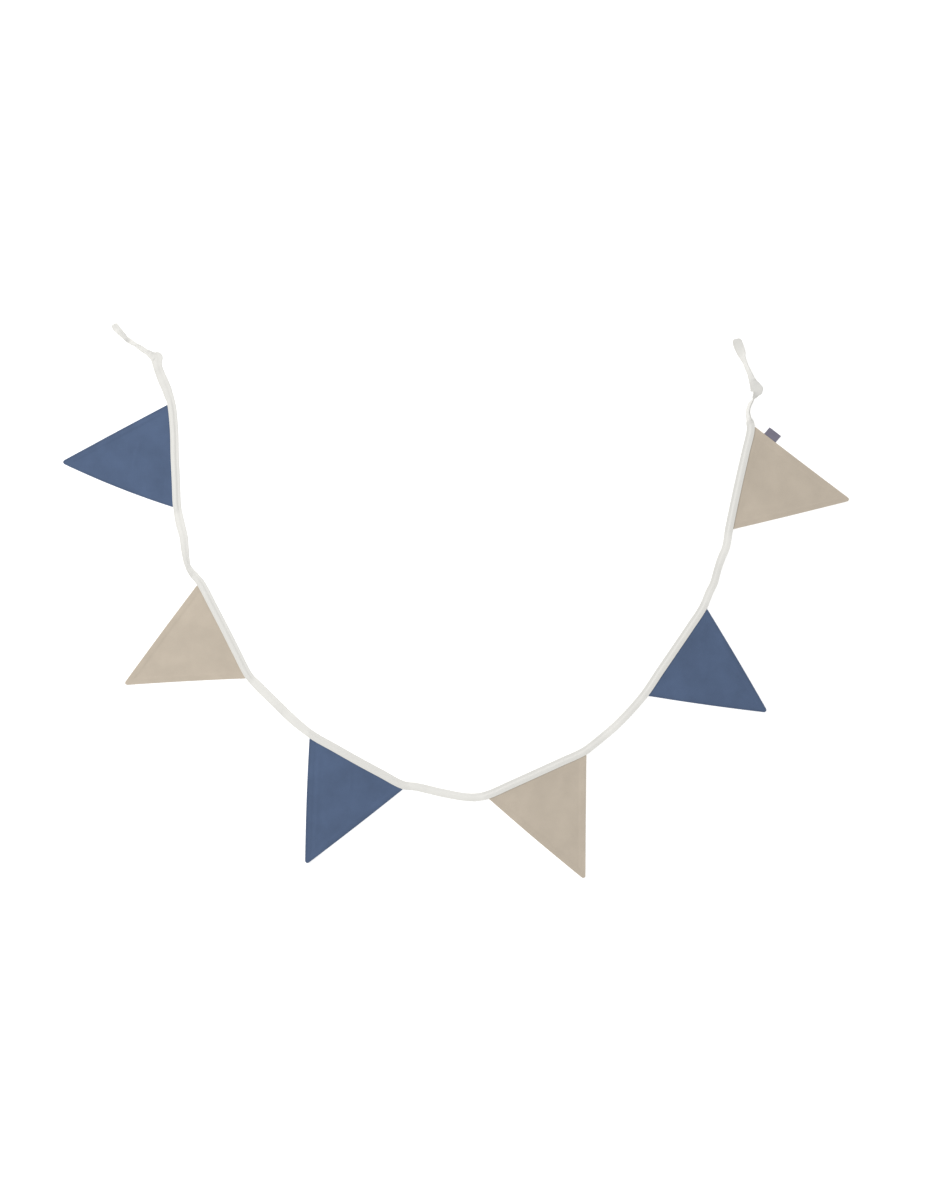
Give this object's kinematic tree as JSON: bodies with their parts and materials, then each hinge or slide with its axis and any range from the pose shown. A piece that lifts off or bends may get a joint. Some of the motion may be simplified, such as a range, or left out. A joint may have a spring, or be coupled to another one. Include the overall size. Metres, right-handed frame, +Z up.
{
  "type": "fabric bunting",
  "caption": "Triangular cotton pennants in blue and taupe, sewn into a cream folded tape whose free ends are ties, laid flat in a wide curve.",
  "frame": {"origin": "on the surface that the bunting lies on, under the middle of its outline", "axes": "+X runs from the left tie's side to the right tie's side, +Y from the bottom of the curve to the ties, +Z up from the surface"},
  "size_m": [1.2568, 0.8896, 0.0114],
  "materials": {
    "blue_cotton": "matte plain-weave cotton",
    "taupe_cotton": "matte plain-weave cotton",
    "cream_binding": "matte cotton binding with a stitched edge",
    "navy_label": "smooth woven label, bare"
  },
  "bodies": {
    "root": {"tape": "cream_binding", "pennant_1": "blue_cotton", "pennant_2": "taupe_cotton", "pennant_3": "blue_cotton", "pennant_4": "taupe_cotton", "pennant_5": "blue_cotton", "pennant_6": "taupe_cotton", "label": "navy_label"}
  },
  "joints": []
}
